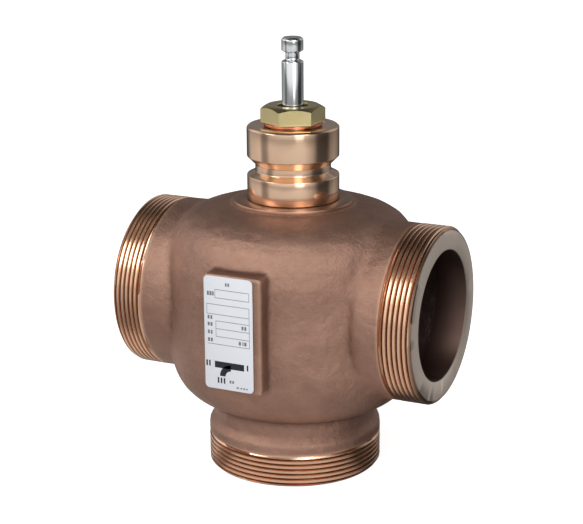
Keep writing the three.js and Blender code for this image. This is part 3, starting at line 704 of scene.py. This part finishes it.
# Each ring: its node, its bore in millimetres, its metal, its finish, and its broken edge in millimetres.
ring_steps = 96
flat_rings = (
    ("bonnet_gasket", 17.8, copper, "copper", 0.2),
    ("gland_washer", 11.1, copper, "copper", 0.25),
    ("upper_seat_gasket", 24.1, copper, "copper", 0.2),
    ("lower_seat_gasket", 26.8, copper, "copper", 0.2),
    ("stem_guide_bush", 5.2, brass, "brass", 0.4),
    ("backing_ring", 5.2, white_plastic, "ptfe", 0.15),
    ("spacer_ring", 5.2, brass, "brass", 0.2),
    ("thrust_ring", 5.2, brass, "brass", 0.2),
    ("nut_guide_bush", 5.2, white_plastic, "ptfe", 0.3),
)
for node, bore_mm, metal, slot_name, edge_mm in flat_rings:
    low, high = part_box(node)
    bore = bore_mm * MM
    section = [(bore, low.z), (high.x, low.z), (high.x, high.z), (bore, high.z)]
    flat_ring = turned(section, steps=ring_steps, edge=edge_mm * MM)
    add_piece(node + "_turned", flat_ring, metal, "valve", [node])

for node in ("lower_stem_o_ring", "upper_stem_o_ring"):
    low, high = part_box(node)
    section_radius = (high.z - low.z) / 2
    ring = bmesh.new()
    bmesh.ops.create_circle(ring, segments=20, radius=section_radius)
    section_place = Matrix.Translation((high.x - section_radius, 0, low.z + section_radius))
    upright = section_place @ Matrix.Rotation(math.pi / 2, 4, "X")
    bmesh.ops.transform(ring, matrix=upright, verts=ring.verts)
    spin_round(ring, ring_steps)
    add_piece(node + "_moulded", ring, rubber, "valve", [node])


# ---------------------------------------------------------------------------------------------------------
# Gland nut and wiper: a brass hexagon on a threaded spigot that presses the seals down the bonnet's bore.
# Its corners are turned off on top, and a rubber wiper ring fills its bore round the stem.
nut_low, nut_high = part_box("gland_nut")
nut_flats = 26 * MM
nut_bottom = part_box("gland_washer")[1].z + gap
nut_bore = 7.1 * MM
nut_spigot = 10.8 * MM


def combine(bm, other, operation):
    """Joins, cuts or trims one closed bmesh with another."""
    mesh = bpy.data.meshes.new("tool")
    other.to_mesh(mesh)
    other.free()
    tool = bpy.data.objects.new("tool", mesh)
    bpy.context.collection.objects.link(tool)
    result = apply_modifiers(bm, ("BOOLEAN", {"operation": operation, "object": tool, "solver": "EXACT"}))
    bpy.data.objects.remove(tool)
    bpy.data.meshes.remove(mesh)
    bmesh.ops.dissolve_limit(
        result, angle_limit=math.radians(0.5), verts=result.verts, edges=result.edges, delimit={"NORMAL"}
    )
    return result


def hexagon(flats, low, high, edge):
    """A closed hexagonal prism with two corners on Y and its upright edges broken."""
    bm = bmesh.new()
    bmesh.ops.create_circle(bm, segments=6, radius=flats / math.sqrt(3), cap_ends=True)
    bmesh.ops.translate(bm, verts=bm.verts, vec=(0, 0, low))
    walls = bmesh.ops.extrude_face_region(bm, geom=bm.faces[:])["geom"]
    raised = [g for g in walls if isinstance(g, bmesh.types.BMVert)]
    bmesh.ops.translate(bm, verts=raised, vec=(0, 0, high - low))
    bmesh.ops.recalc_face_normals(bm, faces=bm.faces)
    upright = [e for e in bm.edges if abs(e.verts[0].co.z - e.verts[1].co.z) > (high - low) / 2]
    break_edges(bm, upright, edge, 3)
    return bm


nut_corner = nut_flats / math.sqrt(3)
past = 1 * MM
nut_land = nut_flats / 2 - 1 * MM
corner_slope = math.tan(math.radians(30))
nut_drop = (nut_corner + past - nut_land) * corner_slope
nut_lead = 0.6 * MM
mouth_depth = 0.5 * MM
mouth_lift = 0.2 * MM
mouth_width = 0.7 * MM
nut_shape = combine(
    hexagon(nut_flats, nut_bottom, nut_high.z, 0.25 * MM),
    turned([
        (0, nut_bottom - past), (nut_corner - 1.2 * MM, nut_bottom - past),
        (nut_corner - 0.2 * MM, nut_bottom), (nut_corner + past, nut_bottom + 0.6 * MM),
        (nut_corner + past, nut_high.z - nut_drop), (nut_land, nut_high.z), (0, nut_high.z),
    ], steps=ring_steps, edge=0.2 * MM),
    "INTERSECT",
)
nut_shape = combine(
    nut_shape,
    turned([
        (0, nut_low.z), (nut_spigot - nut_lead, nut_low.z), (nut_spigot, nut_low.z + nut_lead),
        (nut_spigot, nut_bottom + past), (0, nut_bottom + past),
    ]),
    "UNION",
)
nut_shape = combine(
    nut_shape,
    turned([
        (0, nut_low.z - past), (nut_bore, nut_low.z - past), (nut_bore, nut_high.z - mouth_depth),
        (nut_bore + mouth_width, nut_high.z + mouth_lift), (0, nut_high.z + mouth_lift),
    ]),
    "DIFFERENCE",
)
nut_brass = turned_metal(
    "nut_brass", (0.66, 0.55, 0.29, 1), (0.54, 0.44, 0.21, 1), 0.24, rings=2200.0, depth=0.000006
)[0]
add_piece("gland_nut_hexagon", nut_shape, nut_brass, "valve", ["gland_nut"], sharp=25)

wiper_low, wiper_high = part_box("wiper_ring")
wiper_bore = 5.2 * MM
wiper = turned(
    [
        (wiper_bore, wiper_low.z), (wiper_high.x, wiper_low.z), (wiper_high.x, wiper_high.z - 1 * MM),
        (wiper_bore + 1.2 * MM, wiper_high.z - 0.8 * MM), (wiper_bore + 0.5 * MM, wiper_high.z),
        (wiper_bore, wiper_high.z),
    ],
    steps=ring_steps, edge=0.15 * MM,
)
add_piece("wiper_lip", wiper, rubber, "valve", ["wiper_ring"])


# ---------------------------------------------------------------------------------------------------------
# Seats: two brass rings screwed into the walls between the chambers, one for each face of the plug. Each has
# a flange against its gasket and a sealing chamfer at the end that meets the plug.
seat_bore = 20 * MM
flange_height = 3 * MM
# Each seat: its node, its wall's outer radius, and the chamfers at its lower and upper end, in millimetres.
seats = (("upper_seat_ring", 23.8, 1.5, 0.5), ("lower_seat_ring", 26.5, 0.5, 1.5))
for node, wall_mm, low_chamfer, high_chamfer in seats:
    low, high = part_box(node)
    wall = wall_mm * MM
    flange = low.z + flange_height
    section = [
        (seat_bore + low_chamfer * MM, low.z), (high.x, low.z), (high.x, flange), (wall, flange),
        (wall, high.z),
        (seat_bore + high_chamfer * MM, high.z), (seat_bore, high.z - high_chamfer * MM),
        (seat_bore, low.z + low_chamfer * MM),
    ]
    seat_ring = turned(section, edge=0.12 * MM)
    add_piece(node + "_turned", seat_ring, brass, "valve", [node])


# ---------------------------------------------------------------------------------------------------------
# Stem: a ground and polished steel rod. Its head and neck take the actuator's coupling, its middle runs in
# the seals, and its thinner lower end carries the plug.
stem_low, stem_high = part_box("stem")
stem_radius = stem_high.x
spigot_radius = 4 * MM
neck_top = stem_high.z - 7 * MM
neck_bottom = neck_top - 3 * MM
neck_radius = 3.2 * MM
stem_chamfer = 1 * MM
foot_chamfer = 0.5 * MM
crown_low, crown_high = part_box("upper_crown")
stem_shoulder = crown_low.z + 4.1 * MM
steel = turned_metal(
    "polished_steel", (0.82, 0.84, 0.85, 1), (0.72, 0.74, 0.75, 1), 0.08, rings=5000.0, depth=0.000002
)[0]
stem_shape = turned(
    [
        (0, stem_low.z), (spigot_radius - foot_chamfer, stem_low.z),
        (spigot_radius, stem_low.z + foot_chamfer), (spigot_radius, stem_shoulder),
        (stem_radius, stem_shoulder), (stem_radius, neck_bottom - stem_chamfer),
        (neck_radius, neck_bottom), (neck_radius, neck_top), (stem_radius, neck_top + stem_chamfer),
        (stem_radius, stem_high.z - stem_chamfer), (stem_radius - stem_chamfer, stem_high.z),
        (0, stem_high.z),
    ],
    steps=ring_steps, edge=0.22 * MM, segments=3, keep_sharp=20,
)
add_piece("stem_rod", stem_shape, steel, "stem_and_plug", ["stem"])


# ---------------------------------------------------------------------------------------------------------
# Plug: a double-faced brass disc between two skirted crowns, held on the stem by a washer, a nut and a cross
# pin. The crowns slide in the seats, and the windows in their skirts shape the flow.
plug_low, plug_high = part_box("plug")
plug_hole = 4.3 * MM
plug_face = 19.7 * MM
plug_bevel = 2 * MM
plug_shape = turned(
    [
        (plug_hole, plug_low.z), (plug_face, plug_low.z), (plug_high.x, plug_low.z + plug_bevel),
        (plug_high.x, plug_high.z - plug_bevel), (plug_face, plug_high.z), (plug_hole, plug_high.z),
    ],
    edge=0.2 * MM, keep_sharp=25,
)
add_piece("plug_disc", plug_shape, brass, "stem_and_plug", ["plug"])

crown_wall = 2 * MM
crown_base = 3.8 * MM
window_foot = crown_base + gap
window_top = 19.8 * MM
window_foot_half = 7 * MM
window_top_half = 1.75 * MM


def crown():
    """A cup with its base at height nought and four windows that narrow towards the end of its skirt."""
    length = crown_high.z - crown_low.z
    cup = turned(
        [
            (plug_hole, 0), (crown_high.x, 0), (crown_high.x, length), (crown_high.x - crown_wall, length),
            (crown_high.x - crown_wall, crown_base), (plug_hole, crown_base),
        ],
        edge=0.15 * MM,
    )
    for quarter in range(4):
        window = bmesh.new()
        bmesh.ops.create_cube(window, size=1)
        reach = 2 * crown_high.x
        for v in window.verts:
            half_width, height = (
                (window_foot_half, window_foot) if v.co.z < 0 else (window_top_half, window_top)
            )
            v.co = Vector((math.copysign(half_width, v.co.x), 0 if v.co.y < 0 else reach, height))
        upright = [e for e in window.edges if abs(e.verts[0].co.y - e.verts[1].co.y) > reach / 2]
        break_edges(window, upright, 0.6 * MM, 3)
        turn = Matrix.Rotation(math.radians(45 + 90 * quarter), 3, "Z")
        bmesh.ops.rotate(window, verts=window.verts, cent=(0, 0, 0), matrix=turn)
        bmesh.ops.recalc_face_normals(window, faces=window.faces)
        cup = combine(cup, window, "DIFFERENCE")
    return cup


upper_crown = crown()
bmesh.ops.translate(upper_crown, verts=upper_crown.verts, vec=(0, 0, crown_low.z))
add_piece("upper_crown_skirt", upper_crown, brass, "stem_and_plug", ["upper_crown"])
lower_crown = crown()
flip = Matrix.Translation((0, 0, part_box("lower_crown")[1].z)) @ Matrix.Rotation(math.pi, 4, "X")
bmesh.ops.transform(lower_crown, matrix=flip, verts=lower_crown.verts)
add_piece("lower_crown_skirt", lower_crown, brass, "stem_and_plug", ["lower_crown"])

low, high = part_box("plug_washer")
washer = turned(
    [(plug_hole, low.z), (high.x, low.z), (high.x, high.z), (plug_hole, high.z)],
    steps=ring_steps, edge=0.2 * MM,
)
add_piece("plug_washer_turned", washer, steel, "stem_and_plug", ["plug_washer"])

low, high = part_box("plug_nut")
small_flats = 13 * MM
small_corner = small_flats / math.sqrt(3)
small_land = small_flats / 2 - 0.3 * MM
small_drop = (small_corner + past - small_land) * corner_slope
small_nut = combine(
    hexagon(small_flats, low.z, high.z, 0.15 * MM),
    turned([
        (0, low.z), (small_land, low.z), (small_corner + past, low.z + small_drop),
        (small_corner + past, high.z - small_drop), (small_land, high.z), (0, high.z),
    ], steps=ring_steps),
    "INTERSECT",
)
small_nut = combine(
    small_nut,
    turned([(0, low.z - past), (plug_hole, low.z - past), (plug_hole, high.z + past), (0, high.z + past)]),
    "DIFFERENCE",
)
add_piece("plug_nut_hexagon", small_nut, steel, "stem_and_plug", ["plug_nut"], sharp=25)

low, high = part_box("plug_nut_pin")
pin_radius = (high.z - low.z) / 2
pin = turned(
    [(0, low.x), (pin_radius, low.x), (pin_radius, high.x), (0, high.x)], steps=32, edge=0.25 * MM
)
lay_across = Matrix.Translation((0, 0, low.z + pin_radius)) @ Matrix.Rotation(math.pi / 2, 4, "Y")
bmesh.ops.transform(pin, matrix=lay_across, verts=pin.verts)
add_piece("cross_pin", pin, steel, "stem_and_plug", ["plug_nut_pin"])


# ---------------------------------------------------------------------------------------------------------
# Label: a silvery sticker with rounded corners on the cast pad, printed with a blank data table and a small
# diagram of the flow, from the run's left port to the right and from the port below. It has no lettering.
label_low, label_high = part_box("label")
label_front = label_low.y
label_width = label_high.x - label_low.x
label_height = label_high.z - label_low.z
label_corner = 2 * MM
print_height = 0.03 * MM


def sticker_material():
    """Silvery paper with a faint cloudiness and pale cut edges."""
    material, tree, shader, place = start_material("sticker", 0.35, 0.15)
    paper = use_group(
        tree, mottle, Vector=place, Light=(0.66, 0.68, 0.72, 1), Dark=(0.56, 0.585, 0.63, 1), Scale=60.0
    )
    skin = use_group(tree, sand_skin, Vector=place, Grain=1800.0, Depth=0.000015)
    worn = use_group(tree, edge_wear, Start=0.5, Full=0.6)
    colour = mix_colour(tree, worn.outputs["Mask"], paper.outputs["Color"], (0.9, 0.92, 0.95, 1))
    fill_sockets(tree, shader, {"Base Color": colour, "Normal": skin.outputs["Normal"]})
    vary_roughness(tree, shader, paper.outputs["Mask"], 0.3, 0.42)
    return material


def ink_material(name, light, dark):
    """Dull printing ink, slightly uneven in its cover."""
    material, tree, shader, place = start_material(name, 0.4, 0.0)
    patchy = use_group(tree, mottle, Vector=place, Light=light, Dark=dark, Scale=900.0, Contrast=1.6)
    shader.inputs["Specular IOR Level"].default_value = 0.2
    tree.links.new(patchy.outputs["Color"], shader.inputs["Base Color"])
    vary_roughness(tree, shader, patchy.outputs["Mask"], 0.3, 0.5)
    return material


sheet = bmesh.new()
corners = [sheet.verts.new((x, 0, z)) for x, z in ((-1, -1), (1, -1), (1, 1), (-1, 1))]
sheet.faces.new(corners)
bmesh.ops.scale(sheet, verts=sheet.verts, vec=(label_width / 2, 1, label_height / 2))
bmesh.ops.bevel(
    sheet, geom=sheet.verts[:], offset=label_corner, segments=8, profile=0.5, affect="VERTICES", material=-1
)
label_middle = (label_low + label_high) / 2
bmesh.ops.translate(sheet, verts=sheet.verts, vec=(label_middle.x, label_high.y, label_middle.z))
lifted = bmesh.ops.extrude_face_region(sheet, geom=sheet.faces[:])["geom"]
front = [g for g in lifted if isinstance(g, bmesh.types.BMVert)]
bmesh.ops.translate(sheet, verts=front, vec=(0, label_low.y - label_high.y, 0))
bmesh.ops.recalc_face_normals(sheet, faces=sheet.faces)
rim_edges = [e for e in sheet.edges if all(abs(v.co.y - label_low.y) < 0.01 * MM for v in e.verts)]
break_edges(sheet, rim_edges, 0.06 * MM, 2)
add_piece("label_sticker", sheet, sticker_material(), "valve", ["label"])


def printed(bm, x, z, width, height):
    """A printed bar, its middle at x and z from the label's middle, raised a hair above the sticker."""
    made = bmesh.ops.create_cube(bm, size=1)["verts"]
    bmesh.ops.scale(bm, verts=made, vec=(width * MM, print_height, height * MM))
    middle_of_bar = (label_middle.x + x * MM, label_front, label_middle.z + z * MM)
    bmesh.ops.translate(bm, verts=made, vec=middle_of_bar)


black_ink = ink_material("black_ink", (0.012, 0.014, 0.02, 1), (0.03, 0.032, 0.04, 1))
grey_ink = ink_material("grey_ink", (0.12, 0.125, 0.14, 1), (0.22, 0.225, 0.24, 1))

# The table's rules, all in millimetres from the label's middle: each level one is a height and its two ends,
# and each upright one a place across and its two ends.
table = bmesh.new()
level_rule = 0.26
upright_rule = 0.22
for height, left, right in (
    (20.0, -6.5, 10.3), (16.2, -6.5, 10.3), (13.1, -10.6, 10.3), (8.6, -10.6, 10.3), (5.6, -6.3, 10.3),
    (2.0, -6.3, 10.3), (-1.6, -6.3, 10.3), (-5.2, -10.6, 10.3),
):
    printed(table, (left + right) / 2, height, right - left, level_rule)
for x, low_end, high_end in (
    (-6.4, 16.2, 20.0), (10.3, 16.2, 20.0), (-10.6, 8.6, 13.1), (10.3, -5.2, 13.1), (-6.2, -1.6, 5.6),
):
    printed(table, x, (low_end + high_end) / 2, upright_rule, high_end - low_end)
add_piece("label_table", table, grey_ink, "valve")

# Rows of plain blocks stand where such a label carries lettering: each row is a height, a block's height
# and the blocks' places and widths.
blocks = bmesh.new()
for height, tall, marks in (
    (22.7, 1.5, ((-0.9, 0.8), (0.3, 0.8))),
    (18.0, 1.9, ((-9.9, 1.0), (-8.6, 1.0), (-7.4, 0.8))),
    (7.0, 1.7, ((-9.8, 1.0), (-8.4, 0.9))),
    (3.8, 1.7, ((-9.8, 1.0), (-8.4, 1.0), (7.0, 1.0), (8.4, 1.0))),
    (0.2, 1.7, ((-9.8, 1.0), (-8.4, 0.9))),
    (-3.4, 1.7, ((-9.8, 1.0), (-8.4, 1.0), (5.6, 1.1), (7.1, 0.5), (8.3, 1.1))),
    (-22.0, 1.3, ((0.6, 0.9), (1.9, 0.9))),
    (-24.3, 0.7, ((4.2, 1.2), (6.0, 0.9), (7.4, 1.0), (8.8, 0.7))),
):
    for x, width in marks:
        printed(blocks, x, height, width, tall)
add_piece("label_blocks", blocks, grey_ink, "valve")

# The diagram: a bar for the run, a bend for the branch, and one, two or three strokes that tell the ports.
diagram = bmesh.new()
printed(diagram, 0.2, -14.6, 14.6, 3.0)
bend = bmesh.new()
start_edge = [bend.verts.new((0, 0, radius * MM)) for radius in (2.7, 5.5)]
bend.edges.new(start_edge)
geometry = bend.verts[:] + bend.edges[:]
bmesh.ops.spin(bend, geom=geometry, cent=(0, 0, 0), axis=(0, -1, 0), angle=math.pi / 2, steps=14)
bmesh.ops.solidify(bend, geom=bend.faces[:], thickness=print_height)
bend_depths = [v.co.y for v in bend.verts]
bend_front = label_front - (min(bend_depths) + max(bend_depths)) / 2
bend_place = (label_middle.x + 0.9 * MM, bend_front, label_middle.z - 19.8 * MM)
bmesh.ops.translate(bend, verts=bend.verts, vec=bend_place)
bend_mesh = bpy.data.meshes.new("bend")
bend.to_mesh(bend_mesh)
bend.free()
diagram.from_mesh(bend_mesh)
bpy.data.meshes.remove(bend_mesh)
stroke_width = 0.75
stroke_height = 2.7
for x, z in ((-11.0, -14.4), (-9.6, -14.4), (9.2, -14.4), (-5.4, -21.9), (-3.9, -21.9), (-2.4, -21.9)):
    printed(diagram, x, z, stroke_width, stroke_height)
bmesh.ops.recalc_face_normals(diagram, faces=diagram.faces)
add_piece("label_diagram", diagram, black_ink, "valve")
